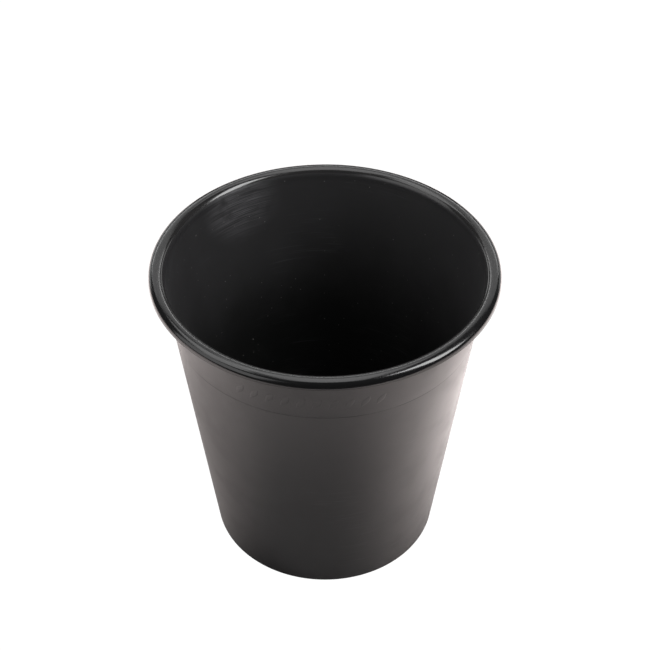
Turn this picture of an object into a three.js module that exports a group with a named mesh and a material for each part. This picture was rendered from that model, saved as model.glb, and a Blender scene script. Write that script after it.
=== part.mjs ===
// Tapered florist bucket, moulded in black polypropylene.
// One moulding, divided where its shape changes: rolled rim, upper band, side wall, floor and foot ring.
// Millimetres, +Z up. The origin is on the axis of the bucket, at the level it stands on.

import * as THREE from 'three';

// ---- Driving dimensions ----

const rimDiameter = 283.6;      // across the outside of the rolled rim
const totalHeight = 277;        // from the standing face to the crown of the rim
const baseDiameter = 194;       // across the outer face of the wall, carried down to the standing face
const wallThickness = 1.5;      // side wall, measured level
const rimWidth = 12.8;          // from the mouth to the outer edge of the rim, measured level
const rimCrownHeight = 5.6;     // from the level where the wall turns outward to the crown
const rimSkirt = 1.3;           // upright skirt that ends the roll, below that level
const rollShoulder = 0.64;      // fullness of the roll's outer quarter, more than a quarter round
const rimThickness = 1.6;       // plastic in the roll of the rim
const bandHeight = 51.2;        // from the crown of the rim down to the step round the outside
const bandProud = 0.25;         // how far the band stands out from the wall below the step
const rimLegLength = 4;         // wall that belongs to the rim piece, below the turn of the wall
const floorThickness = 2;
const floorLift = 3.5;          // underside of the floor above the standing face
const footRingWidth = 3.2;      // flat standing face, measured level
const footRingHeight = 18;      // height of the ring piece that joins the floor to the wall
const baseCornerRadius = 3.5;   // outer corner round the base
const insideCornerRadius = 4;   // corner between the floor and the wall, inside
const footDraft = 0.3;          // how far the inside of the foot leans out, from the floor to its edge

// ---- Resolution ----

const turnSegments = 72;        // round the axis, a multiple of four
const rollSegments = 6;         // along each quarter of the rolled rim
const cornerSegments = 4;       // along each rounded corner
const quarterHandle = 0.5523;   // handle length that makes a Bezier curve a quarter round

// ---- Sizes that follow from them ----

const rimRadius = rimDiameter / 2;
const baseRadius = baseDiameter / 2;
const mouthRadius = rimRadius - rimWidth;
const rimTurnHeight = totalHeight - rimCrownHeight;
const rimEdgeHeight = rimTurnHeight - rimSkirt;
const stepHeight = totalHeight - bandHeight;
const rimSeamHeight = rimTurnHeight - rimLegLength;
const floorTop = floorLift + floorThickness;
const wallSlope = (mouthRadius + wallThickness - baseRadius) / rimTurnHeight;
const wallLean = Math.atan(wallSlope);

/** Outer radius of the side wall at a height. */
function outerRadiusAt(height) {
  return baseRadius + wallSlope * height;
}

/** Inner radius of the side wall at a height. */
function innerRadiusAt(height) {
  return outerRadiusAt(height) - wallThickness;
}

/** Outer radius of the band above the step at a height. */
function bandRadiusAt(height) {
  return outerRadiusAt(height) + bandProud;
}

/** Radius of the centre of a corner arc that touches a level face and the sloping wall line. */
function cornerCentreRadius(wallRadius, cornerRadius) {
  return wallRadius - cornerRadius / Math.cos(wallLean);
}

const insideCornerCentre = cornerCentreRadius(
  innerRadiusAt(floorTop + insideCornerRadius),
  insideCornerRadius,
);
const baseCornerCentre = cornerCentreRadius(outerRadiusAt(baseCornerRadius), baseCornerRadius);

// The floor meets the foot ring where the inside corner runs out on the floor.
const floorSeamRadius = insideCornerCentre;

// ---- Outline helpers ----

/** Points along a corner arc between two directions, given in radians from the outward direction. */
function cornerArc(centreRadius, centreHeight, radius, startAngle, endAngle) {
  const clockwise = endAngle < startAngle;
  const arc = new THREE.EllipseCurve(
    centreRadius,
    centreHeight,
    radius,
    radius,
    startAngle,
    endAngle,
    clockwise,
  );
  return arc.getPoints(cornerSegments);
}

/** Points over the roll of the rim, from the wall on the mouth side to the foot of its skirt. */
function rollCurve(wallRadius, crownHeight, edgeRadius) {
  const crownRadius = (wallRadius + edgeRadius) / 2;
  const halfWidth = (edgeRadius - wallRadius) / 2;
  const rise = crownHeight - rimTurnHeight;
  const mouthRise = rise * quarterHandle;
  const mouthQuarter = new THREE.CubicBezierCurve(
    new THREE.Vector2(wallRadius, rimTurnHeight),
    new THREE.Vector2(wallRadius + mouthRise * wallSlope, rimTurnHeight + mouthRise),
    new THREE.Vector2(crownRadius - halfWidth * quarterHandle, crownHeight),
    new THREE.Vector2(crownRadius, crownHeight),
  );
  const edgeQuarter = new THREE.CubicBezierCurve(
    new THREE.Vector2(crownRadius, crownHeight),
    new THREE.Vector2(crownRadius + halfWidth * rollShoulder, crownHeight),
    new THREE.Vector2(edgeRadius, rimTurnHeight + rise * rollShoulder),
    new THREE.Vector2(edgeRadius, rimTurnHeight),
  );
  const overCrown = edgeQuarter.getPoints(rollSegments).slice(1);
  return [...mouthQuarter.getPoints(rollSegments), ...overCrown, corner(edgeRadius, rimEdgeHeight)];
}

/** One corner of an outline: radius from the axis, height above the standing face. */
function corner(radius, height) {
  return new THREE.Vector2(radius, height);
}

/** A closed solid from an outline turned once round the vertical axis. */
function turned(outline) {
  const geometry = new THREE.LatheGeometry(outline, turnSegments);
  geometry.rotateX(Math.PI / 2);
  return geometry;
}

/** A ring from an outline that closes on itself. */
function turnedRing(outline) {
  return turned([...outline, outline[0].clone()]);
}

// ---- The pieces ----

/** Roll over the mouth, open underneath, with its skirt and the short leg of wall that carries it. */
function rimRoll() {
  const overTheTop = rollCurve(mouthRadius, totalHeight, rimRadius);
  const channel = rollCurve(
    bandRadiusAt(rimTurnHeight),
    totalHeight - rimThickness,
    rimRadius - rimThickness,
  );
  const outline = [
    corner(bandRadiusAt(rimSeamHeight), rimSeamHeight),
    ...channel,
    ...overTheTop.reverse(),
    corner(innerRadiusAt(rimSeamHeight), rimSeamHeight),
  ];
  return turnedRing(outline);
}

/** Short length of wall that stands slightly proud, from the rim down to the step. */
function upperBand() {
  return turnedRing([
    corner(innerRadiusAt(stepHeight), stepHeight),
    corner(bandRadiusAt(stepHeight), stepHeight),
    corner(bandRadiusAt(rimSeamHeight), rimSeamHeight),
    corner(innerRadiusAt(rimSeamHeight), rimSeamHeight),
  ]);
}

/** Long tapered wall from the foot ring up to the step. */
function sideWall() {
  return turnedRing([
    corner(innerRadiusAt(footRingHeight), footRingHeight),
    corner(outerRadiusAt(footRingHeight), footRingHeight),
    corner(outerRadiusAt(stepHeight), stepHeight),
    corner(innerRadiusAt(stepHeight), stepHeight),
  ]);
}

/** Flat floor, held clear of the ground by the foot ring. */
function floorDisc() {
  return turned([
    corner(0, floorLift),
    corner(floorSeamRadius, floorLift),
    corner(floorSeamRadius, floorTop),
    corner(0, floorTop),
  ]);
}

/** Ring that the bucket stands on, with the rounded corners inside and outside the base. */
function footRing() {
  const quarterTurn = Math.PI / 2;
  const outerCorner = cornerArc(
    baseCornerCentre,
    baseCornerRadius,
    baseCornerRadius,
    -quarterTurn,
    -wallLean,
  );
  const insideCorner = cornerArc(
    insideCornerCentre,
    floorTop + insideCornerRadius,
    insideCornerRadius,
    -wallLean,
    -quarterTurn,
  );
  const standingInnerRadius = baseCornerCentre - footRingWidth;
  return turnedRing([
    corner(standingInnerRadius, 0),
    ...outerCorner,
    corner(outerRadiusAt(footRingHeight), footRingHeight),
    corner(innerRadiusAt(footRingHeight), footRingHeight),
    ...insideCorner,
    corner(floorSeamRadius, floorLift),
    corner(standingInnerRadius - footDraft, floorLift),
  ]);
}

// ---- Assembly ----

/** A named piece with a finish of its own. */
function piece(name, geometry, colour, roughness) {
  const material = new THREE.MeshStandardMaterial({ color: colour, roughness, metalness: 0 });
  const mesh = new THREE.Mesh(geometry, material);
  mesh.name = name;
  return mesh;
}

const bucket = new THREE.Group();
bucket.name = 'florist_bucket';
bucket.add(
  piece('rim_roll', rimRoll(), 0x2a2a2b, 0.34),
  piece('upper_band', upperBand(), 0x242323, 0.42),
  piece('side_wall', sideWall(), 0x222121, 0.44),
  piece('floor_disc', floorDisc(), 0x161617, 0.5),
  piece('foot_ring', footRing(), 0x1e1d1d, 0.46),
);

export default bucket;
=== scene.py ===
"""Finished model of a tapered florist bucket in moulded black polypropylene.

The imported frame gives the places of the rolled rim, the upper band, the side wall, the foot ring and
the floor. Each is modelled here as a fine mesh that stands for its frame node, dressed in one family
of plastic finishes, and set on a pale floor in soft studio light. Lengths are in metres.
"""

import logging
import math
from collections.abc import Callable
from dataclasses import dataclass, field
from enum import Enum

import bpy
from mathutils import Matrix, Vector


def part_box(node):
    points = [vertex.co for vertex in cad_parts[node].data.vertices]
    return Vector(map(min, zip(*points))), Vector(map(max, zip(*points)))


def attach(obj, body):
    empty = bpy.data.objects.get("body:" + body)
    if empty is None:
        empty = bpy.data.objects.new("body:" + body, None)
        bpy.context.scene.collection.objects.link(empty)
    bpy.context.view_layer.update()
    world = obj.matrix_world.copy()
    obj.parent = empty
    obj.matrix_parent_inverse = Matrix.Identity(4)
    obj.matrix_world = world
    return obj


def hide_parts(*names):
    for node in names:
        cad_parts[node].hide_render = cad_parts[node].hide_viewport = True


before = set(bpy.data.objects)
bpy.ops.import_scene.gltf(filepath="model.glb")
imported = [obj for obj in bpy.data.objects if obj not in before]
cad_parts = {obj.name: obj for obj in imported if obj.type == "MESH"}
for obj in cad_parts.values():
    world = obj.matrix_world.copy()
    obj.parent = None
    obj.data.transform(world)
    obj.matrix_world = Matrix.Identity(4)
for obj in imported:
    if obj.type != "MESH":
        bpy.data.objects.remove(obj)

log = logging.getLogger("florist_bucket")

MM = 0.001

# Length of a cubic curve's handle, as a share of the radius, that makes a quarter round.
QUARTER_HANDLE = 0.5523

# A corner of an outline: radius from the axis, height above the ground.
Point = tuple[float, float]
# Two levels of a value, such as where something sets in and where it is full.
Span = tuple[float, float]
Triple = tuple[float, float, float]
Colour = tuple[float, float, float, float]
Socket = bpy.types.NodeSocket
# What a node's input takes.
Value = Socket | float | Colour


class Node(Enum):
    """The nodes of the frame that the bucket is divided into."""

    RIM = "rim_roll"
    BAND = "upper_band"
    WALL = "side_wall"
    FLOOR = "floor_disc"
    FOOT = "foot_ring"


class Slot(Enum):
    """Material slots of the record."""

    RIM = "rim_polypropylene"
    WALL = "wall_polypropylene"
    FLOOR = "floor_polypropylene"


# ---------------------------------------------------------------- sizes


@dataclass(frozen=True)
class BucketSizes:
    """Sizes of the bucket, read from the frame, with the ones that its boxes can't tell.

    Attributes:
        rim_radius: Outside of the rolled rim.
        crown_height: Top of the rim.
        rim_edge_height: Lower edge of the rim's skirt.
        rim_seam_height: Lower end of the rim's own piece of wall.
        step_height: Step round the outside, at the foot of the band.
        foot_height: Top of the foot ring.
        wall_foot_radius: Outside of the wall at the top of the foot ring.
        wall_slope: Run of the wall for each unit of rise.
        band_proud: How far the band stands out from the wall below it.
        floor_radius: Edge of the floor.
        floor_underside: Underside of the floor.
        floor_top: Top of the floor.
        wall: Wall thickness, measured level.
        rim_skin: Plastic in the roll of the rim.
        rim_width: From the mouth to the outer edge of the rim.
        rim_leg: Wall that belongs to the rim's piece, below the turn into the roll.
        rim_skirt: Upright skirt that ends the roll, below that turn.
        standing_width: Flat face that the bucket stands on.
        base_corner: Outer corner round the base.
        inside_corner: Corner between the floor and the wall.
    """

    rim_radius: float
    crown_height: float
    rim_edge_height: float
    rim_seam_height: float
    step_height: float
    foot_height: float
    wall_foot_radius: float
    wall_slope: float
    band_proud: float
    floor_radius: float
    floor_underside: float
    floor_top: float
    wall: float = 1.5 * MM
    rim_skin: float = 1.6 * MM
    rim_width: float = 12.8 * MM
    rim_leg: float = 4.0 * MM
    rim_skirt: float = 1.3 * MM
    standing_width: float = 3.2 * MM
    base_corner: float = 3.5 * MM
    inside_corner: float = 4.0 * MM

    @classmethod
    def from_frame(cls) -> "BucketSizes":
        """Reads the sizes from the boxes of the frame's nodes.

        Returns:
            The sizes of this bucket.
        """
        rim_low, rim_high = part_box(Node.RIM.value)
        band_low, band_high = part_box(Node.BAND.value)
        wall_low, wall_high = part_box(Node.WALL.value)
        floor_low, floor_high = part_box(Node.FLOOR.value)
        rise = wall_high.z - wall_low.z
        foot_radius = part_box(Node.FOOT.value)[1].x
        slope = (wall_high.x - foot_radius) / rise
        wall_at_band_top = wall_high.x + slope * (band_high.z - band_low.z)
        return cls(
            rim_radius=rim_high.x,
            crown_height=rim_high.z,
            rim_edge_height=rim_low.z + cls.rim_leg - cls.rim_skirt,
            rim_seam_height=rim_low.z,
            step_height=band_low.z,
            foot_height=wall_low.z,
            wall_foot_radius=foot_radius,
            wall_slope=slope,
            band_proud=band_high.x - wall_at_band_top,
            floor_radius=floor_high.x,
            floor_underside=floor_low.z,
            floor_top=floor_high.z,
        )

    @property
    def rim_turn_height(self) -> float:
        """Height where the wall turns outward into the roll of the rim."""
        return self.rim_edge_height + self.rim_skirt

    @property
    def mouth_radius(self) -> float:
        """Inner radius where the wall runs into the roll of the rim."""
        return self.rim_radius - self.rim_width

    @property
    def lean(self) -> float:
        """Angle of the wall from upright, in radians."""
        return math.atan(self.wall_slope)

    def outside(self, height: float) -> float:
        """Outer radius of the side wall at a height."""
        return self.wall_foot_radius + self.wall_slope * (height - self.foot_height)

    def inside(self, height: float) -> float:
        """Inner radius of the wall at a height."""
        return self.outside(height) - self.wall

    def band(self, height: float) -> float:
        """Outer radius of the band above the step at a height."""
        return self.outside(height) + self.band_proud


# ---------------------------------------------------------------- outlines


def bezier(start: Point, leave: Point, arrive: Point, end: Point, steps: int) -> list[Point]:
    """Points along a cubic curve.

    Args:
        start: First point, as radius and height.
        leave: Handle of the first point.
        arrive: Handle of the last point.
        end: Last point.
        steps: Number of stretches along the curve.

    Returns:
        The points from start to end, both included.
    """
    corners = (start, leave, arrive, end)
    points = []
    for step in range(steps + 1):
        t = step / steps
        s = 1 - t
        weights = (s**3, 3 * s * s * t, 3 * s * t * t, t**3)
        radius = sum(weight * corner[0] for weight, corner in zip(weights, corners))
        height = sum(weight * corner[1] for weight, corner in zip(weights, corners))
        points.append((radius, height))
    return points


def arc(centre: Point, radius: float, start: float, end: float, steps: int) -> list[Point]:
    """Points along a round corner.

    Args:
        centre: Centre of the corner, as radius and height.
        radius: Radius of the corner.
        start: First direction, in degrees from outward.
        end: Last direction, in degrees from outward.
        steps: Number of stretches along the corner.

    Returns:
        The points from start to end, both included.
    """
    points = []
    for step in range(steps + 1):
        angle = math.radians(start + (end - start) * step / steps)
        points.append((centre[0] + radius * math.cos(angle), centre[1] + radius * math.sin(angle)))
    return points


def radians(span: Span) -> Span:
    """Turns a span of degrees into radians."""
    return (math.radians(span[0]), math.radians(span[1]))


# ---------------------------------------------------------------- modelling


def deselect_all() -> None:
    """Leaves nothing selected in object mode."""
    if bpy.context.mode != "OBJECT":
        bpy.ops.object.mode_set(mode="OBJECT")
    bpy.ops.object.select_all(action="DESELECT")


def select_where(piece: bpy.types.Object, test: Callable[[Vector], bool]) -> None:
    """Selects a piece's points by their place, and leaves it in edit mode.

    Args:
        piece: The piece, which is the active object.
        test: Tells from a point's place whether it is wanted.
    """
    bpy.ops.object.mode_set(mode="EDIT")
    bpy.ops.mesh.select_mode(type="VERT")
    bpy.ops.mesh.select_all(action="DESELECT")
    bpy.ops.object.mode_set(mode="OBJECT")
    for vertex in piece.data.vertices:
        vertex.select = test(vertex.co)
    bpy.ops.object.mode_set(mode="EDIT")


@dataclass
class Turning:
    """Draws a round piece up ring by ring from a circle, as on a wheel.

    Attributes:
        name: Name of the piece.
        sides: Number of sides round the axis, a multiple of four.
        radius: Radius of the last ring drawn.
        height: Height of the last ring drawn.
    """

    name: str
    sides: int = 256
    radius: float = field(default=0.0, init=False)
    height: float = field(default=0.0, init=False)

    def start(self, radius: float, height: float) -> None:
        """Lays down the first ring.

        Args:
            radius: Radius of the ring.
            height: Height of the ring.
        """
        deselect_all()
        bpy.ops.mesh.primitive_circle_add(vertices=self.sides, radius=radius, location=(0, 0, 0))
        bpy.context.active_object.name = self.name
        bpy.context.active_object.data.name = self.name
        bpy.ops.object.mode_set(mode="EDIT")
        bpy.ops.mesh.select_mode(type="VERT")
        bpy.ops.mesh.select_all(action="SELECT")
        bpy.ops.transform.translate(value=(0, 0, height))
        self.radius = radius
        self.height = height

    def draw(self, radius: float, height: float) -> None:
        """Extrudes the last ring to a new radius and height.

        Args:
            radius: Radius of the new ring.
            height: Height of the new ring.
        """
        rise = height - self.height
        bpy.ops.mesh.extrude_edges_move(TRANSFORM_OT_translate={"value": (0, 0, rise)})
        scale = radius / self.radius
        bpy.ops.transform.resize(value=(scale, scale, 1), center_override=(0, 0, height))
        self.radius = radius
        self.height = height

    def draw_along(self, outline: list[Point]) -> None:
        """Extrudes through every point of an outline."""
        for radius, height in outline:
            self.draw(radius, height)

    def cap(self) -> None:
        """Fills the last ring with one face."""
        bpy.ops.mesh.edge_face_add()

    def join_ends(self) -> None:
        """Bridges the last ring to the first, which closes the section."""
        bpy.ops.mesh.select_all(action="DESELECT")
        bpy.ops.mesh.select_non_manifold(
            extend=False,
            use_wire=False,
            use_multi_face=False,
            use_non_contiguous=False,
            use_verts=False,
        )
        bpy.ops.mesh.bridge_edge_loops()

    def finish(self, smooth_below: float = 32.0) -> bpy.types.Object:
        """Turns the faces outward and shades the piece.

        Args:
            smooth_below: Angle in degrees under which neighbouring faces are shaded as one.

        Returns:
            The finished object.
        """
        bpy.ops.mesh.select_all(action="SELECT")
        bpy.ops.mesh.normals_make_consistent(inside=False)
        bpy.ops.object.mode_set(mode="OBJECT")
        bpy.ops.object.shade_smooth_by_angle(angle=math.radians(smooth_below))
        return bpy.context.active_object


@dataclass
class RolledRim:
    """Half-round roll round the mouth, open underneath, on a short leg of wall.

    Attributes:
        sizes: Sizes of the bucket.
        edge_round: Rounding of the rim's lower edge.
        edge_steps: Stretches along each of its two corners.
        shoulder: Fullness of the roll's outer quarter, which is more than a quarter round.
        roll_steps: Stretches along each quarter of the roll.
    """

    sizes: BucketSizes
    edge_round: float = 0.45 * MM
    edge_steps: int = 4
    shoulder: float = 0.64
    roll_steps: int = 14

    def roll(self, wall: float, crown: float, edge: float, edge_height: float) -> list[Point]:
        """Outline over the roll, from the wall to the foot of the skirt.

        Args:
            wall: Radius where the roll leaves the wall.
            crown: Height of the crown.
            edge: Radius of the outer edge.
            edge_height: Height at which the skirt ends.

        Returns:
            The outline's points.
        """
        turn = self.sizes.rim_turn_height
        middle = (wall + edge) / 2
        half = (edge - wall) / 2
        rise = crown - turn
        near_rise = rise * QUARTER_HANDLE
        leave = (wall + near_rise * self.sizes.wall_slope, turn + near_rise)
        near_crown = (middle - half * QUARTER_HANDLE, crown)
        near = bezier((wall, turn), leave, near_crown, (middle, crown), self.roll_steps)
        far_crown = (middle + half * self.shoulder, crown)
        far_edge = (edge, turn + rise * self.shoulder)
        far = bezier((middle, crown), far_crown, far_edge, (edge, turn), self.roll_steps)
        return near + far[1:] + [(edge, edge_height)]

    def build(self) -> bpy.types.Object:
        """Models the rim.

        Returns:
            The rim.
        """
        s = self.sizes
        seam = s.rim_seam_height
        edge_height = s.rim_edge_height + self.edge_round
        channel_edge = s.rim_radius - s.rim_skin
        channel_wall = s.band(s.rim_turn_height)
        channel = self.roll(channel_wall, s.crown_height - s.rim_skin, channel_edge, edge_height)
        over = self.roll(s.mouth_radius, s.crown_height, s.rim_radius, edge_height)
        inner_middle = (channel_edge + self.edge_round, edge_height)
        inner_round = arc(inner_middle, self.edge_round, 180, 270, self.edge_steps)
        outer_middle = (s.rim_radius - self.edge_round, edge_height)
        outer_round = arc(outer_middle, self.edge_round, 270, 360, self.edge_steps)
        turning = Turning("rolled_rim")
        turning.start(s.band(seam), seam)
        turning.draw_along(channel)
        turning.draw_along(inner_round[1:])
        turning.draw_along(outer_round)
        turning.draw_along(over[::-1][1:])
        turning.draw(s.inside(seam), seam)
        turning.join_ends()
        return turning.finish()


@dataclass
class LeafRow:
    """Row of small raised leaves on the band, a plain ornament.

    Attributes:
        sizes: Sizes of the bucket.
        count: Number of leaves.
        middle: Direction of the row's middle, in degrees from the front towards the right.
        pitch: Degrees from one leaf to the next.
        length: Length of a leaf.
        width: Width of a leaf.
        proud: How far a leaf stands out from the band.
        sunk: How far the dome's widest part is sunk in the band.
        point: How far the ends narrow to a point.
        tilt: How far each leaf leans from upright to the right, in degrees.
        height: Height of the row's middle.
        sides: Number of sides round a leaf's length.
        rings: Number of stretches along a leaf.
        ring_reach: How near a point lies to its ring, on a leaf still of unit size.
    """

    sizes: BucketSizes
    count: int = 10
    middle: float = -5.5
    pitch: float = 5.6
    length: float = 12.5 * MM
    width: float = 5.2 * MM
    proud: float = 0.13 * MM
    sunk: float = 0.06 * MM
    point: float = 0.5
    tilt: float = 32.0
    height: float = 242.0 * MM
    sides: int = 32
    rings: int = 16
    ring_reach: float = 0.001

    def leaf(self) -> bpy.types.Object:
        """Models one leaf lying on its back: a low dome, pointed at both ends.

        Returns:
            The leaf, at the origin, with its widest part a little below it.
        """
        deselect_all()
        bpy.ops.mesh.primitive_uv_sphere_add(
            segments=self.sides, ring_count=self.rings, radius=0.5, location=(0, 0, 0)
        )
        leaf = bpy.context.active_object
        bpy.ops.object.mode_set(mode="EDIT")
        bpy.ops.mesh.select_all(action="SELECT")
        bpy.ops.transform.rotate(value=math.radians(90), orient_axis="X", center_override=(0, 0, 0))
        for ring in range(1, self.rings):
            along = math.cos(math.pi * ring / self.rings)
            select_where(leaf, lambda place, y=along / 2: abs(place.y - y) < self.ring_reach)
            narrow = 1 - self.point * along**2
            bpy.ops.transform.resize(value=(narrow, 1, 1), center_override=(0, 0, 0))
        full = 2 * (self.proud + self.sunk)
        bpy.ops.mesh.select_all(action="SELECT")
        bpy.ops.transform.resize(value=(self.width, self.length, full), center_override=(0, 0, 0))
        bpy.ops.transform.translate(value=(0, 0, -self.sunk))
        bpy.ops.object.mode_set(mode="OBJECT")
        bpy.ops.object.shade_smooth()
        return leaf

    def place(self, leaf: bpy.types.Object, index: int) -> bpy.types.Object:
        """Copies the leaf to its place on the band.

        Args:
            leaf: The leaf to copy.
            index: Number of the place, from the left.

        Returns:
            The copy, with its place in its mesh.
        """
        deselect_all()
        leaf.select_set(True)
        bpy.context.view_layer.objects.active = leaf
        bpy.ops.object.duplicate()
        copy = bpy.context.active_object
        copy.rotation_mode = "XYZ"
        # Leaned over, then stood up against the leaning wall.
        copy.rotation_euler = (0, 0, math.radians(-self.tilt))
        bpy.ops.object.transform_apply(location=False, rotation=True, scale=True)
        copy.rotation_euler = (math.radians(90) + self.sizes.lean, 0, 0)
        bpy.ops.object.transform_apply(location=False, rotation=True, scale=True)
        # Carried out to the front of the band, then round to its own place.
        copy.location = (0, -self.sizes.band(self.height), self.height)
        bpy.ops.object.transform_apply(location=True, rotation=True, scale=True)
        turn = self.middle + (index - (self.count - 1) / 2) * self.pitch
        copy.rotation_euler = (0, 0, math.radians(turn))
        bpy.ops.object.transform_apply(location=True, rotation=True, scale=True)
        return copy

    def build(self) -> list[bpy.types.Object]:
        """Models the whole row.

        Returns:
            The leaves, each in its place.
        """
        pattern = self.leaf()
        leaves = [self.place(pattern, index) for index in range(self.count)]
        bpy.data.objects.remove(pattern)
        return leaves


@dataclass
class UpperBand:
    """Stretch of wall between the rim and the step, slightly proud, with its row of leaves.

    Attributes:
        sizes: Sizes of the bucket.
        step_round: Rounding of the band's lower edge.
        round_end: Direction in degrees, from outward, in which that rounding runs out.
        round_steps: Stretches along it.
        hold: Height of the narrow ring of faces that keeps its shading off the band.
        rings: Rings drawn up each face of the band.
    """

    sizes: BucketSizes
    step_round: float = 0.2 * MM
    round_end: float = -7.0
    round_steps: int = 4
    hold: float = 0.6 * MM
    rings: int = 4

    def build(self) -> bpy.types.Object:
        """Models the band and joins the leaves to it.

        Returns:
            The band.
        """
        s = self.sizes
        low = s.step_height
        high = s.rim_seam_height
        middle = (s.band(low) - self.step_round, low + self.step_round)
        corner = arc(middle, self.step_round, -90, self.round_end, self.round_steps)
        turning = Turning("upper_band_with_leaves")
        turning.start(s.inside(low), low)
        turning.draw_along(corner)
        hold = low + self.hold
        turning.draw(s.band(hold), hold)
        heights = [low + (high - low) * step / self.rings for step in range(1, self.rings + 1)]
        turning.draw_along([(s.band(height), height) for height in heights])
        turning.draw_along([(s.inside(height), height) for height in heights[::-1]])
        turning.join_ends()
        band = turning.finish()
        leaves = LeafRow(s).build()
        deselect_all()
        for leaf in leaves:
            leaf.select_set(True)
        band.select_set(True)
        bpy.context.view_layer.objects.active = band
        bpy.ops.object.join()
        return band


@dataclass
class TaperedWall:
    """Long tapered wall below the step.

    Attributes:
        sizes: Sizes of the bucket.
        rings: Rings drawn up each face of the wall.
    """

    sizes: BucketSizes
    rings: int = 12

    def build(self) -> bpy.types.Object:
        """Models the wall.

        Returns:
            The wall.
        """
        s = self.sizes
        rise = s.step_height - s.foot_height
        heights = [s.foot_height + rise * step / self.rings for step in range(self.rings + 1)]
        turning = Turning("tapered_wall")
        turning.start(s.outside(heights[0]), heights[0])
        turning.draw_along([(s.outside(height), height) for height in heights[1:]])
        turning.draw_along([(s.inside(height), height) for height in heights[::-1]])
        turning.join_ends()
        return turning.finish()


@dataclass
class StandingRing:
    """Ring at the foot of the wall: the face that the bucket stands on and both base corners.

    Attributes:
        sizes: Sizes of the bucket.
        corner_steps: Stretches along each base corner.
        edge_round: Rounding of the standing face's inner edge.
        edge_steps: Stretches along that rounding.
        hold: Height of the narrow ring of faces that keeps a corner's shading off the wall.
    """

    sizes: BucketSizes
    corner_steps: int = 16
    edge_round: float = 0.5 * MM
    edge_steps: int = 4
    hold: float = 0.5 * MM

    def build(self) -> bpy.types.Object:
        """Models the ring.

        Returns:
            The ring.
        """
        s = self.sizes
        lean = math.degrees(s.lean)
        base_middle = s.outside(s.base_corner) - s.base_corner / math.cos(s.lean)
        outer = arc((base_middle, s.base_corner), s.base_corner, -90, -lean, self.corner_steps)
        inner_height = s.floor_top + s.inside_corner
        inner_middle = (s.floor_radius, inner_height)
        inner = arc(inner_middle, s.inside_corner, -lean, -90, self.corner_steps)
        foot_inner = base_middle - s.standing_width
        edge_middle = (foot_inner + self.edge_round, self.edge_round)
        foot_edge = arc(edge_middle, self.edge_round, 180, 270, self.edge_steps)
        turning = Turning("standing_ring")
        turning.start(foot_inner, s.floor_underside)
        turning.draw_along(foot_edge)
        turning.draw_along(outer)
        hold = s.base_corner + self.hold
        turning.draw(s.outside(hold), hold)
        turning.draw(s.outside(s.foot_height), s.foot_height)
        turning.draw(s.inside(s.foot_height), s.foot_height)
        hold = inner_height + self.hold
        turning.draw(s.inside(hold), hold)
        turning.draw_along(inner)
        turning.draw(s.floor_radius, s.floor_underside)
        turning.join_ends()
        return turning.finish()


@dataclass
class BucketFloor:
    """Floor with the moulding gate's mark in the middle of its underside.

    Attributes:
        sizes: Sizes of the bucket.
        middle_radius: Edge of the small round face in the middle of the top.
        dimple_radius: Edge of the shallow dimple round the gate.
        dimple_depth: Depth of the dimple.
        dimple_run: Run of the dimple's side, as a share of its depth.
        lip_round: Rounding of the dimple's edge.
        lip_offset: How far outside that edge the rounding's centre lies.
        lip_steps: Stretches along the rounding.
        gate_radius: Radius of the stub that the gate leaves.
        gate_height: How far the stub stands out of the dimple.
        gate_root: Radius at the stub's root, as a share of its radius.
        gate_end: Radius at its end, and height where it starts to narrow, as shares of its own.
        witness_radius: Radius of the fine groove where the mould's insert ends.
        witness_half: Half the width of that groove.
        witness_depth: Depth of that groove.
    """

    sizes: BucketSizes
    middle_radius: float = 1.0 * MM
    dimple_radius: float = 11.0 * MM
    dimple_depth: float = 0.7 * MM
    dimple_run: float = 2.0
    lip_round: float = 1.0 * MM
    lip_offset: float = 0.5 * MM
    lip_steps: int = 3
    gate_radius: float = 2.2 * MM
    gate_height: float = 1.0 * MM
    gate_root: float = 1.2
    gate_end: float = 0.8
    witness_radius: float = 68.0 * MM
    witness_half: float = 0.5 * MM
    witness_depth: float = 0.25 * MM

    def build(self) -> bpy.types.Object:
        """Models the floor.

        Returns:
            The floor.
        """
        s = self.sizes
        under = s.floor_underside
        groove = self.witness_radius
        dimple = self.dimple_radius
        gate = self.gate_radius
        stub_foot = under + self.dimple_depth
        lip_middle = (dimple + self.lip_offset, under + self.lip_round)
        turning = Turning("bucket_floor")
        turning.start(self.middle_radius, s.floor_top)
        turning.cap()
        turning.draw_along([(radius, s.floor_top) for radius in (dimple, groove, s.floor_radius)])
        turning.draw(s.floor_radius, under)
        turning.draw(groove + self.witness_half, under)
        turning.draw(groove, under + self.witness_depth)
        turning.draw(groove - self.witness_half, under)
        turning.draw_along(arc(lip_middle, self.lip_round, 270, 225, self.lip_steps))
        turning.draw(dimple - self.dimple_run * self.dimple_depth, stub_foot)
        turning.draw(gate * self.gate_root, stub_foot)
        turning.draw(gate, stub_foot - self.gate_height * self.gate_end)
        turning.draw(gate * self.gate_end, stub_foot - self.gate_height)
        turning.cap()
        return turning.finish()


# ---------------------------------------------------------------- finishes


@dataclass(frozen=True)
class Grain:
    """A noise pattern, cut to run from 0 to 1 between two levels of the noise.

    Attributes:
        scale: Repeats to a unit of the coordinates.
        low: Level where the pattern is 0.
        high: Level where the pattern is 1.
        detail: Number of finer layers.
        rough: Strength of the finer layers.
    """

    scale: float
    low: float
    high: float
    detail: float = 2.0
    rough: float = 0.5


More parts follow.
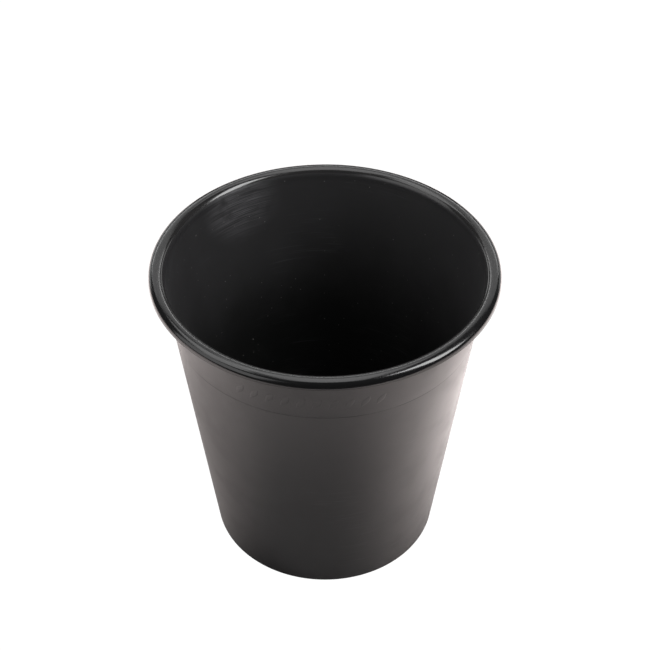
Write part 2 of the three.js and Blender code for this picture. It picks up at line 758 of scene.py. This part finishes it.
class Sketch:
    """Lays out the nodes of one material."""

    def __init__(self, name: str) -> None:
        """Starts an empty material with a Principled shader.

        Args:
            name: Name of the material.
        """
        self.material = bpy.data.materials.new(name)
        self.material.use_nodes = True
        self.nodes = self.material.node_tree.nodes
        self.links = self.material.node_tree.links
        self.shader = self.nodes["Principled BSDF"]
        self.place = self.nodes.new("ShaderNodeTexCoord").outputs["Object"]
        self.split = self.nodes.new("ShaderNodeSeparateXYZ")
        self.links.new(self.place, self.split.inputs[0])

    @property
    def across(self) -> Socket:
        """Place along X, in metres."""
        return self.split.outputs["X"]

    @property
    def along(self) -> Socket:
        """Place along Y, in metres."""
        return self.split.outputs["Y"]

    @property
    def height(self) -> Socket:
        """Height above the ground, in metres."""
        return self.split.outputs["Z"]

    def feed(self, socket: Socket, value: Value) -> None:
        """Links or sets an input.

        Args:
            socket: The input.
            value: Another node's output, or a plain value.
        """
        if isinstance(value, Socket):
            self.links.new(value, socket)
        else:
            socket.default_value = value

    def work_out(self, kind: str, first: Value, second: Value = 0.0, clamp: bool = False) -> Socket:
        """Works out one step of arithmetic.

        Args:
            kind: The Math node's operation.
            first: First value or output.
            second: Second value or output.
            clamp: Whether the result is kept from 0 to 1.

        Returns:
            The result's output.
        """
        node = self.nodes.new("ShaderNodeMath")
        node.operation = kind
        node.use_clamp = clamp
        self.feed(node.inputs[0], first)
        self.feed(node.inputs[1], second)
        return node.outputs[0]

    def plus(self, first: Value, second: Value) -> Socket:
        """Adds two values."""
        return self.work_out("ADD", first, second)

    def less(self, first: Value, second: Value) -> Socket:
        """Takes the second value from the first."""
        return self.work_out("SUBTRACT", first, second)

    def times(self, first: Value, second: Value) -> Socket:
        """Multiplies two values."""
        return self.work_out("MULTIPLY", first, second)

    def most(self, first: Value, second: Value) -> Socket:
        """Takes the larger of two values."""
        return self.work_out("MAXIMUM", first, second)

    def rest(self, value: Value) -> Socket:
        """Takes a value from 1."""
        return self.less(1.0, value)

    def radius(self) -> Socket:
        """Distance from the bucket's axis, in metres."""
        squares = self.plus(self.times(self.across, self.across), self.times(self.along, self.along))
        return self.work_out("SQRT", squares)

    def between(self, value: Value, low: float, high: float) -> Socket:
        """Rises smoothly from 0 to 1 as a value goes from low to high.

        Args:
            value: The value's output.
            low: Where the result is 0.
            high: Where the result is 1.

        Returns:
            The result's output.
        """
        node = self.nodes.new("ShaderNodeMapRange")
        node.interpolation_type = "SMOOTHSTEP"
        self.feed(node.inputs["Value"], value)
        node.inputs["From Min"].default_value = low
        node.inputs["From Max"].default_value = high
        return node.outputs["Result"]

    def near(self, value: Value, middle: float, reach: float) -> Socket:
        """Is 1 where a value is at the middle and 0 past its reach."""
        away = self.work_out("ABSOLUTE", self.less(value, middle))
        return self.rest(self.between(away, 0.0, reach))

    def stretched(self, scale: Triple) -> Socket:
        """Object coordinates stretched along each axis.

        Args:
            scale: Repeats to a metre along X, Y and Z.

        Returns:
            The stretched coordinates.
        """
        node = self.nodes.new("ShaderNodeMapping")
        self.links.new(self.place, node.inputs["Vector"])
        node.inputs["Scale"].default_value = scale
        return node.outputs["Vector"]

    def noise(self, where: Socket, scale: float, detail: float, rough: float) -> Socket:
        """Soft noise.

        Args:
            where: Coordinates.
            scale: Repeats to a unit of the coordinates.
            detail: Number of finer layers.
            rough: Strength of the finer layers.

        Returns:
            A value of about 0.5, more or less.
        """
        node = self.nodes.new("ShaderNodeTexNoise")
        self.links.new(where, node.inputs["Vector"])
        node.inputs["Scale"].default_value = scale
        node.inputs["Detail"].default_value = detail
        node.inputs["Roughness"].default_value = rough
        return node.outputs["Fac"]

    def pattern(self, grain: Grain, stretch: Triple | None = None) -> Socket:
        """Lays a grain over the piece.

        Args:
            grain: The grain.
            stretch: Repeats to a metre along each axis, where the grain is drawn out.

        Returns:
            A value from 0 to 1.
        """
        where = self.stretched(stretch) if stretch else self.place
        noise = self.noise(where, grain.scale, grain.detail, grain.rough)
        return self.between(noise, grain.low, grain.high)

    def distance(self, point: Triple) -> Socket:
        """Distance from a point.

        Args:
            point: The point, in metres.

        Returns:
            The distance's output.
        """
        node = self.nodes.new("ShaderNodeVectorMath")
        node.operation = "DISTANCE"
        self.links.new(self.place, node.inputs[0])
        node.inputs[1].default_value = point
        return node.outputs["Value"]

    def specks(self, scale: float, size: float, kept: Span) -> Socket:
        """Sparse round specks.

        Args:
            scale: Cells to a metre.
            size: Radius of a speck as a share of its cell.
            kept: Draw from 0 to 1 below which a cell has no speck, and above which it has one.

        Returns:
            A value of 1 in a speck and 0 elsewhere.
        """
        node = self.nodes.new("ShaderNodeTexVoronoi")
        self.links.new(self.place, node.inputs["Vector"])
        node.inputs["Scale"].default_value = scale
        spot = self.rest(self.between(node.outputs["Distance"], size / 2, size))
        draw = self.nodes.new("ShaderNodeSeparateColor")
        self.links.new(node.outputs["Color"], draw.inputs[0])
        return self.times(spot, self.between(draw.outputs[0], *kept))

    def blend(self, amount: Value, first: Value, second: Value) -> Socket:
        """Mixes two colours.

        Args:
            amount: Share of the second.
            first: First colour.
            second: Second colour.

        Returns:
            The mixed colour.
        """
        node = self.nodes.new("ShaderNodeMix")
        node.data_type = "RGBA"
        self.feed(node.inputs["Factor"], amount)
        self.feed(node.inputs["A"], first)
        self.feed(node.inputs["B"], second)
        return node.outputs["Result"]

    def bump(self, height: Socket, depth: float, under: Socket | None = None) -> Socket:
        """Bumps a surface.

        Args:
            height: The height pattern, from 0 to 1.
            depth: How deep the pattern is, in metres.
            under: Normal that this bump lies on.

        Returns:
            The bumped normal.
        """
        node = self.nodes.new("ShaderNodeBump")
        node.inputs["Distance"].default_value = depth
        self.links.new(height, node.inputs["Height"])
        if under is not None:
            self.links.new(under, node.inputs["Normal"])
        return node.outputs["Normal"]


@dataclass(frozen=True)
class PaintedShadeLines:
    """Dark lines of painted shade outside: along the step, under the rim, on its skirt and round the
    base.

    Attributes:
        sizes: Sizes of the bucket, which place the painted shade.
        colour: Colour of the painted shade.
        roughness: Roughness where the shade is painted.
        step_reach: How far the line at the step reaches up and down.
        step_least: Amount of painted shade where the line at the step is thinnest.
        step_patches: Pattern that thickens that line.
        base: Heights between which the painted shade at the base fades out.
        under_drop: How far the line on the wall lies below the rim's edge.
        under_reach: How far that line reaches up and down.
        skirt_rise: How far the painted shade climbs the skirt.
        skirt_depth: Distance in from the rim's outside where the skirt's painted shade starts.
        skirt_full: Distance in from the rim's outside where it is full.
    """

    sizes: BucketSizes
    colour: Colour = (0.002, 0.002, 0.002, 1.0)
    roughness: float = 0.8
    step_reach: float = 0.8 * MM
    step_least: float = 0.35
    step_patches: Grain = Grain(30.0, 0.3, 0.6, 3.0, 0.6)
    base: Span = (0.6 * MM, 2.2 * MM)
    under_drop: float = 1.5 * MM
    under_reach: float = 2.5 * MM
    skirt_rise: float = 1.5 * MM
    skirt_depth: float = 3 * MM
    skirt_full: float = 1 * MM

    def amount(self, sk: Sketch, radius: Socket, inside: Socket) -> Socket:
        """Works out where the painted shade lies.

        Args:
            sk: The material's sketch.
            radius: Distance from the axis.
            inside: 1 on the inner face.

        Returns:
            The amount of painted shade, from 0 to 1.
        """
        s = self.sizes
        edge = s.rim_edge_height
        # Dark line along the step: painted shade under the proud band, thickened in patches.
        thick = sk.times(sk.pattern(self.step_patches), 1 - self.step_least)
        step = sk.near(sk.height, s.step_height, self.step_reach)
        step = sk.times(step, sk.plus(self.step_least, thick))
        # Painted contact shade round the base, darker towards the ground.
        base = sk.rest(sk.between(sk.height, *self.base))
        # Painted shade on the wall just under the rim's overhang.
        under = sk.near(sk.height, edge - self.under_drop, self.under_reach)
        # Painted shade on the lower edge of the rim's skirt.
        low = sk.rest(sk.between(sk.height, edge, edge + self.skirt_rise))
        outer = sk.between(radius, s.rim_radius - self.skirt_depth, s.rim_radius - self.skirt_full)
        lines = sk.most(sk.most(step, sk.times(low, outer)), sk.most(base, under))
        return sk.times(lines, sk.rest(inside))


@dataclass(frozen=True)
class WearAndSheen:
    """Where the plastic is rubbed: stacking marks, the rim's crown and a scuff high on the inside,
    whose lighter tone is also a painted highlight.

    Attributes:
        sizes: Sizes of the bucket, which place the wear.
        crown: Amount of rubbing along the crown of the rim.
        stack: Amount of fine level marks left by stacking.
        colour: Colour where it is rubbed, also used for the highlight painted inside.
        roughness: Roughness where it is rubbed.
        depth: Depth of the marks.
        mark_stretch: Repeats of the stacking marks to a metre along each axis.
        marks: Pattern of the stacking marks.
        mark_patches: Pattern of the places that have them.
        crown_fade: Distances below the crown between which its rubbing sets in.
        chafing: Pattern of the rubbing along the crown.
        scuff_and_sheen_middle: Middle of the patch of scratches inside, where stems rub and a
            highlight is painted.
        scuff_and_sheen_reach: Radius of the patch.
        scuff_and_sheen_core: Share of that radius within which the patch is full.
        scratch_stretch: Repeats of the scratches to a metre along each axis.
        scratches: Pattern of the scratches.
        scratch_patches: Pattern that breaks them up.
    """

    sizes: BucketSizes
    crown: float
    stack: float
    colour: Colour = (0.085, 0.084, 0.088, 1.0)
    roughness: float = 0.5
    depth: float = 0.03 * MM
    mark_stretch: Triple = (22.0, 22.0, 900.0)
    marks: Grain = Grain(1.0, 0.57, 0.72, 2.0, 0.6)
    mark_patches: Grain = Grain(14.0, 0.5, 0.66, 1.0)
    crown_fade: Span = (1.1 * MM, 0.1 * MM)
    chafing: Grain = Grain(420.0, 0.4, 0.7, 3.0, 0.6)
    scuff_and_sheen_middle: Triple = (-0.074, 0.104, 0.262)
    scuff_and_sheen_reach: float = 0.045
    scuff_and_sheen_core: float = 0.2
    scratch_stretch: Triple = (26.0, 26.0, 1300.0)
    scratches: Grain = Grain(1.0, 0.4, 0.62, 3.0, 0.7)
    scratch_patches: Grain = Grain(70.0, 0.15, 0.5)

    def amount(self, sk: Sketch, inside: Socket) -> Socket:
        """Works out where the plastic is rubbed, and where a highlight is painted inside.

        Args:
            sk: The material's sketch.
            inside: 1 on the inner face.

        Returns:
            The amount of wear and painted highlight, from 0 to 1.
        """
        marks = sk.times(sk.pattern(self.marks, self.mark_stretch), sk.pattern(self.mark_patches))
        top = self.sizes.crown_height
        start, full = self.crown_fade
        crown = sk.times(sk.between(sk.height, top - start, top - full), sk.pattern(self.chafing))
        outer = sk.most(sk.times(marks, self.stack), sk.times(crown, self.crown))
        # Scratched patch inside, made lighter as a painted highlight of the key light.
        scuff_and_sheen = sk.times(self.scuff_and_sheen(sk), inside)
        return sk.work_out("MAXIMUM", outer, scuff_and_sheen, clamp=True)

    def scuff_and_sheen(self, sk: Sketch) -> Socket:
        """Lays out the patch of fine level scratches, lighter where a highlight is painted.

        Args:
            sk: The material's sketch.

        Returns:
            The amount of scratching and painted highlight.
        """
        away = sk.distance(self.scuff_and_sheen_middle)
        patch = sk.rest(sk.between(away, self.scuff_and_sheen_reach * self.scuff_and_sheen_core, self.scuff_and_sheen_reach))
        scratches = sk.pattern(self.scratches, self.scratch_stretch)
        return sk.times(sk.times(patch, scratches), sk.pattern(self.scratch_patches))


@dataclass(frozen=True)
class BlackPlastic:
    """Moulded black polypropylene, lightly handled: one plastic, with a finish for each part, and
    shade and highlights painted into its colour in places.

    Attributes:
        name: Name of the finish.
        sizes: Sizes of the bucket, which place the tones.
        wear_and_sheen: Where it is rubbed, and where a highlight is painted inside.
        gloss_break: Roughness of clean plastic.
        haze_break: Roughness of the inside.
        skin_depth: Depth of the mould's fine texture.
        skin: Repeats to a metre, finer layers and their strength of that texture.
        reflect: Strength of the surface's reflection.
        refraction: Index of refraction.
        colour: Colour of the wall.
        cloud_tones: Shares of that colour between which the cloudiness varies.
        clouds: Pattern of the cloudiness.
        inside_painted_light: Colour of the inside near the mouth, made lighter as painted light.
        deep: Colour of the inside near the floor, made darker as painted shade.
        inside_shade_heights: Heights between which the deep tone turns into the lighter one.
        inside_shade_drift: How far the clouds shift those heights.
        polished: Colour of the polished outside of the rim.
        roll: Distances out from the mouth between which the polished tone sets in.
        patches: Pattern of the duller patches.
        patch_break: Roughness that those patches add.
        inner_share: Share of the wall, from its outer face, over which no inside tone shows.
        dust: Colour of dust.
        speck_scale: Cells of dust to a metre.
        speck_size: Radius of a speck as a share of its cell.
        specks_kept: Draw below which a cell has no speck, and above which it has one.
        speck_amount: Strength of the specks.
    """

    name: str
    sizes: BucketSizes
    wear_and_sheen: WearAndSheen
    gloss_break: float
    haze_break: float
    skin_depth: float = 0.005 * MM
    skin: Triple = (700.0, 2.0, 0.6)
    reflect: float = 0.5
    refraction: float = 1.49
    colour: Colour = (0.0125, 0.012, 0.012, 1.0)
    cloud_tones: Span = (0.85, 1.2)
    clouds: Grain = Grain(11.0, 0.3, 0.7, 4.0, 0.6)
    inside_painted_light: Colour = (0.021, 0.0205, 0.0215, 1.0)
    deep: Colour = (0.003, 0.0031, 0.0032, 1.0)
    inside_shade_heights: Span = (0.13, 0.25)
    inside_shade_drift: float = 0.03
    polished: Colour = (0.0042, 0.0042, 0.0044, 1.0)
    roll: Span = (2 * MM, 7 * MM)
    patches: Grain = Grain(34.0, 0.42, 0.72)
    patch_break: float = 0.05
    inner_share: float = 0.3
    dust: Colour = (0.3, 0.29, 0.28, 1.0)
    speck_scale: float = 230.0
    speck_size: float = 0.12
    specks_kept: Span = (0.8, 0.82)
    speck_amount: float = 0.6

    def make(self) -> bpy.types.Material:
        """Lays out the finish.

        Returns:
            The material.
        """
        sk = Sketch(self.name)
        shade_lines = PaintedShadeLines(self.sizes)
        radius = sk.radius()
        inside = self.inside(sk, radius)
        worn_and_sheen = self.wear_and_sheen.amount(sk, inside)
        painted_shade = shade_lines.amount(sk, radius, inside)
        # Rubbed wear, with a painted highlight in the scratched patch inside.
        tone = sk.blend(worn_and_sheen, self.tone(sk, radius, inside), self.wear_and_sheen.colour)
        # Painted shade lines along the step, under the rim, on the skirt and round the base.
        tone = sk.blend(painted_shade, tone, shade_lines.colour)
        specks = sk.specks(self.speck_scale, self.speck_size, self.specks_kept)
        dusty = sk.times(specks, sk.times(inside, self.speck_amount))
        sk.feed(sk.shader.inputs["Base Color"], sk.blend(dusty, tone, self.dust))
        rough = sk.plus(self.gloss_break, sk.times(sk.pattern(self.patches), self.patch_break))
        rough = sk.plus(rough, sk.times(inside, self.haze_break - self.gloss_break))
        rubbed = sk.times(worn_and_sheen, self.wear_and_sheen.roughness - self.gloss_break)
        shade_roughness = sk.times(painted_shade, shade_lines.roughness - self.gloss_break)
        rough = sk.work_out("ADD", rough, sk.plus(rubbed, shade_roughness), clamp=True)
        sk.feed(sk.shader.inputs["Roughness"], rough)
        sk.shader.inputs["IOR"].default_value = self.refraction
        sk.shader.inputs["Specular IOR Level"].default_value = self.reflect
        skin = sk.bump(sk.noise(sk.place, *self.skin), self.skin_depth)
        sk.feed(sk.shader.inputs["Normal"], sk.bump(worn_and_sheen, -self.wear_and_sheen.depth, skin))
        return sk.material

    def inside(self, sk: Sketch, radius: Socket) -> Socket:
        """Tells the inner face of the wall from the outer one.

        Args:
            sk: The material's sketch.
            radius: Distance from the axis.

        Returns:
            1 inside and 0 outside.
        """
        s = self.sizes
        cone = sk.less(radius, sk.times(sk.height, s.wall_slope))
        foot = s.wall_foot_radius - s.wall_slope * s.foot_height
        return sk.rest(sk.between(cone, foot - s.wall, foot - self.inner_share * s.wall))

    def tone(self, sk: Sketch, radius: Socket, inside: Socket) -> Socket:
        """Works out the colour of the clean plastic, with painted light and shade inside.

        Args:
            sk: The material's sketch.
            radius: Distance from the axis.
            inside: 1 on the inner face.

        Returns:
            The colour.
        """
        mouth = self.sizes.mouth_radius
        start, full = self.roll
        clouds = sk.pattern(self.clouds)
        dark, light = (tuple(part * share for part in self.colour) for share in self.cloud_tones)
        wall = sk.blend(clouds, dark, light)
        # Painted light and shade inside: lighter near the mouth, darker towards the floor.
        height = sk.plus(sk.height, sk.times(clouds, self.inside_shade_drift))
        inner = sk.blend(sk.between(height, *self.inside_shade_heights), self.deep, self.inside_painted_light)
        roll = sk.between(radius, mouth + start, mouth + full)
        return sk.blend(roll, sk.blend(inside, wall, inner), self.polished)


# ---------------------------------------------------------------- studio


@dataclass(frozen=True)
class Panel:
    """A flat light panel that only reflections and shadows see, turned to face the bucket.

    Attributes:
        name: Name of the panel.
        azimuth: Direction from the bucket in degrees, from the front towards the right.
        elevation: Direction from the bucket in degrees, up from level.
        distance: Distance of its middle from the point that it faces.
        size: Its width and height.
        glow: Its brightness.
    """

    name: str
    azimuth: float
    elevation: float
    distance: float
    size: Span
    glow: float

    def light(self, target: Vector) -> bpy.types.Object:
        """Hangs the panel as an area light.

        Args:
            target: The point that it faces.

        Returns:
            The light.
        """
        width, height = self.size
        data = bpy.data.lights.new(self.name, "AREA")
        data.shape = "RECTANGLE"
        data.size = width
        data.size_y = height
        data.energy = self.glow * math.pi * width * height
        lamp = bpy.data.objects.new(self.name, data)
        bpy.context.scene.collection.objects.link(lamp)
        across = math.radians(self.azimuth)
        up = math.radians(self.elevation)
        level = self.distance * math.cos(up)
        rise = self.distance * math.sin(up)
        offset = Vector((level * math.sin(across), -level * math.cos(across), rise))
        lamp.location = target + offset
        lamp.rotation_euler = (-offset).to_track_quat("-Z", "Y").to_euler()
        lamp.visible_camera = False
        return lamp


@dataclass(frozen=True)
class PaleFloor:
    """Pale floor that only the camera sees, swept up far away all round.

    Attributes:
        start_radius: Edge of the floor's middle face.
        flat_radius: Where the floor starts to sweep up.
        sweep_radius: Outer radius of the sweep.
        sweep_height: Height of the sweep.
        top_height: Top of the upright part.
        sides: Number of sides round the middle.
        glow: Its brightness.
    """

    start_radius: float = 1.0
    flat_radius: float = 9.0
    sweep_radius: float = 10.0
    sweep_height: float = 1.0
    top_height: float = 12.0
    sides: int = 96
    glow: float = 1.05

    def build(self) -> bpy.types.Object:
        """Lays the floor.

        Returns:
            The floor.
        """
        turning = Turning("pale_floor", sides=self.sides)
        turning.start(self.start_radius, 0.0)
        turning.cap()
        turning.draw(self.flat_radius, 0.0)
        turning.draw(self.sweep_radius, self.sweep_height)
        turning.draw(self.sweep_radius, self.top_height)
        floor = turning.finish()
        material = bpy.data.materials.new("pale_floor")
        material.use_nodes = True
        shader = material.node_tree.nodes["Principled BSDF"]
        shader.inputs["Base Color"].default_value = (0.0, 0.0, 0.0, 1.0)
        shader.inputs["Specular IOR Level"].default_value = 0.0
        shader.inputs["Emission Color"].default_value = (1.0, 1.0, 1.0, 1.0)
        shader.inputs["Emission Strength"].default_value = self.glow
        floor.data.materials.append(material)
        floor.visible_diffuse = False
        floor.visible_glossy = False
        floor.visible_transmission = False
        floor.visible_shadow = False
        return floor


@dataclass(frozen=True)
class BounceTable:
    """White table under the bucket, with a painted shadow and a painted glow, which the walls reflect
    and the camera doesn't see.

    Directions are in degrees, from the front towards the right.

    Attributes:
        width: Width of the table.
        depth: Depth of the table.
        front: Place of its front edge along Y, as the front is towards -Y.
        drop: How far it lies below the bucket.
        light: Tone everywhere else.
        dark: Tone of the bucket's painted shadow, in front, a little to the left.
        shadow_from: Directions between which the painted shadow sets in, on the left.
        shadow_to: Directions between which it ends, on the right.
        glow: Colour of its glow.
        far: Distances from the axis between which the outer glow sets in.
        far_to: Directions between which the outer glow ends, on the right.
        side: Strength of the glow on the right.
        side_across: Places along X between which that glow sets in.
        side_along: Places along Y between which it sets in.
        side_fade: Distances from the axis between which it fades.
        side_loss: Share of it that is lost there.
    """

    width: float = 3.0
    depth: float = 2.2
    front: float = -0.5
    drop: float = 0.5 * MM
    light: Colour = (0.9, 0.82, 0.8, 1.0)
    dark: Colour = (0.36, 0.345, 0.345, 1.0)
    shadow_from: Span = (-78.0, -30.0)
    shadow_to: Span = (5.0, 60.0)
    glow: Colour = (1.0, 0.9, 0.88, 1.0)
    far: Span = (0.245, 0.3)
    far_to: Span = (30.0, 75.0)
    side: float = 2.3
    side_across: Span = (0.07, 0.24)
    side_along: Span = (-0.25, 0.1)
    side_fade: Span = (0.25, 0.31)
    side_loss: float = 0.4

    def build(self) -> bpy.types.Object:
        """Lays the table.

        Returns:
            The table.
        """
        deselect_all()
        bpy.ops.mesh.primitive_plane_add(size=1.0, location=(0, 0, 0))
        table = bpy.context.active_object
        table.name = "bounce_table"
        bpy.ops.object.mode_set(mode="EDIT")
        bpy.ops.mesh.select_all(action="SELECT")
        bpy.ops.transform.resize(value=(self.width, self.depth, 1), center_override=(0, 0, 0))
        bpy.ops.transform.translate(value=(0, self.front + self.depth / 2, -self.drop))
        bpy.ops.object.mode_set(mode="OBJECT")
        table.data.materials.append(self.finish())
        table.visible_camera = False
        return table

    def finish(self) -> bpy.types.Material:
        """Lays out the table's tone, with its painted shadow, and its glow.

        Returns:
            The material.
        """
        sk = Sketch("bounce_table")
        # Painted shadow of the bucket on the table, in front and a little to the left.
        towards = sk.work_out("ARCTAN2", sk.across, sk.times(sk.along, -1.0))
        left = sk.between(towards, *radians(self.shadow_from))
        right = sk.between(towards, *radians(self.shadow_to))
        sk.feed(sk.shader.inputs["Base Color"], sk.blend(sk.less(left, right), self.light, self.dark))
        radius = sk.radius()
        ahead = sk.rest(sk.between(towards, *radians(self.far_to)))
        outer = sk.times(sk.between(radius, *self.far), ahead)
        side = sk.times(sk.between(sk.across, *self.side_across), self.side)
        side = sk.times(side, sk.between(sk.along, *self.side_along))
        side = sk.times(side, sk.rest(sk.times(sk.between(radius, *self.side_fade), self.side_loss)))
        sk.feed(sk.shader.inputs["Emission Strength"], sk.plus(outer, side))
        sk.shader.inputs["Emission Color"].default_value = self.glow
        sk.shader.inputs["Specular IOR Level"].default_value = 0.0
        return sk.material


@dataclass(frozen=True)
class Studio:
    """Pale floor, bounce table, soft panels, dim room and camera.

    Attributes:
        lens: Lens of the camera, in millimetres.
        sight: How far the camera sees.
        target_height: Height of the point on the bucket's axis that the camera looks at.
        distance: Distance from the camera to that point.
        elevation: Angle that the camera looks down, in degrees.
        mouth_height: Height of the point on the axis that the panels face.
        room_tone: Dim grey of the room.
        panels: The light panels, each with its name, azimuth, elevation, distance, size and glow.
    """

    lens: float = 85.0
    sight: float = 60.0
    target_height: float = 0.2116
    distance: float = 1.2742
    elevation: float = 40.92
    mouth_height: float = 0.27
    room_tone: Colour = (0.09, 0.09, 0.092, 1.0)
    panels: tuple[Panel, ...] = (
        Panel("key_right", 77, 44, 1.3, (0.5, 0.95), 12.0),
        Panel("back_panel", 180, 36, 1.8, (2.4, 0.72), 1.1),
        Panel("back_strip", 180, 28, 1.7, (2.6, 0.1), 5.0),
        Panel("back_low", 180, 12, 1.9, (0.9, 0.4), 0.5),
        Panel("back_left_low", -143, 3, 1.6, (1.0, 0.5), 1.6),
        Panel("back_right_low", 143, 3, 1.6, (1.0, 0.5), 1.2),
        Panel("fill_left", -112, 59, 1.5, (1.1, 0.6), 2.9),
        Panel("side_left", -64, 24, 1.5, (1.7, 1.2), 1.6),
        Panel("top_panel", 180, 76, 1.4, (0.68, 1.3), 2.5),
    )

    def room(self) -> None:
        """Fills the rest of the studio with dim grey."""
        world = bpy.data.worlds.new("studio")
        world.use_nodes = True
        back = world.node_tree.nodes["Background"]
        back.inputs["Color"].default_value = self.room_tone
        back.inputs["Strength"].default_value = 1.0
        bpy.context.scene.world = world

    def camera(self) -> bpy.types.Object:
        """Stands the camera in front, above the bucket.

        Returns:
            The camera.
        """
        data = bpy.data.cameras.new("camera")
        data.lens = self.lens
        data.clip_end = self.sight
        camera = bpy.data.objects.new("camera", data)
        bpy.context.scene.collection.objects.link(camera)
        down = math.radians(self.elevation)
        back = self.distance * math.cos(down)
        camera.location = (0.0, -back, self.target_height + self.distance * math.sin(down))
        camera.rotation_euler = (math.radians(90) - down, 0.0, 0.0)
        bpy.context.scene.camera = camera
        return camera

    def build(self) -> None:
        """Sets up the whole studio."""
        PaleFloor().build()
        BounceTable().build()
        self.room()
        for panel in self.panels:
            panel.light(Vector((0.0, 0.0, self.mouth_height)))
        self.camera()
        bpy.context.scene.view_settings.view_transform = "Standard"


# ---------------------------------------------------------------- assembly


def dress(piece: bpy.types.Object, finish: bpy.types.Material, node: Node) -> None:
    """Gives a piece its finish and ties it to the frame.

    Args:
        piece: The finished mesh.
        finish: Its material.
        node: The frame node that it stands for.
    """
    piece.data.materials.clear()
    piece.data.materials.append(finish)
    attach(piece, "root")
    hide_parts(node.value)
    log.info("%s stands for %s, %d faces", piece.name, node.value, len(piece.data.polygons))


def main() -> None:
    """Builds the bucket and its studio."""
    logging.basicConfig(level=logging.INFO, format="%(name)s: %(message)s")
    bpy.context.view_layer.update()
    sizes = BucketSizes.from_frame()
    wall_finish = BlackPlastic(
        "wall_black_polypropylene",
        sizes,
        WearAndSheen(sizes, crown=0.0, stack=0.3),
        gloss_break=0.36,
        haze_break=0.5,
    ).make()
    rim_finish = BlackPlastic(
        "rim_black_polypropylene",
        sizes,
        WearAndSheen(sizes, crown=0.03, stack=0.2),
        gloss_break=0.15,
        haze_break=0.4,
        skin_depth=0.0015 * MM,
    ).make()
    floor_finish = BlackPlastic(
        "floor_black_polypropylene",
        sizes,
        WearAndSheen(sizes, crown=0.0, stack=0.7),
        gloss_break=0.42,
        haze_break=0.55,
    ).make()
    dress(RolledRim(sizes).build(), rim_finish, Node.RIM)
    dress(UpperBand(sizes).build(), wall_finish, Node.BAND)
    dress(TaperedWall(sizes).build(), wall_finish, Node.WALL)
    dress(StandingRing(sizes).build(), wall_finish, Node.FOOT)
    dress(BucketFloor(sizes).build(), floor_finish, Node.FLOOR)
    Studio().build()


if __name__ == "__main__":
    main()
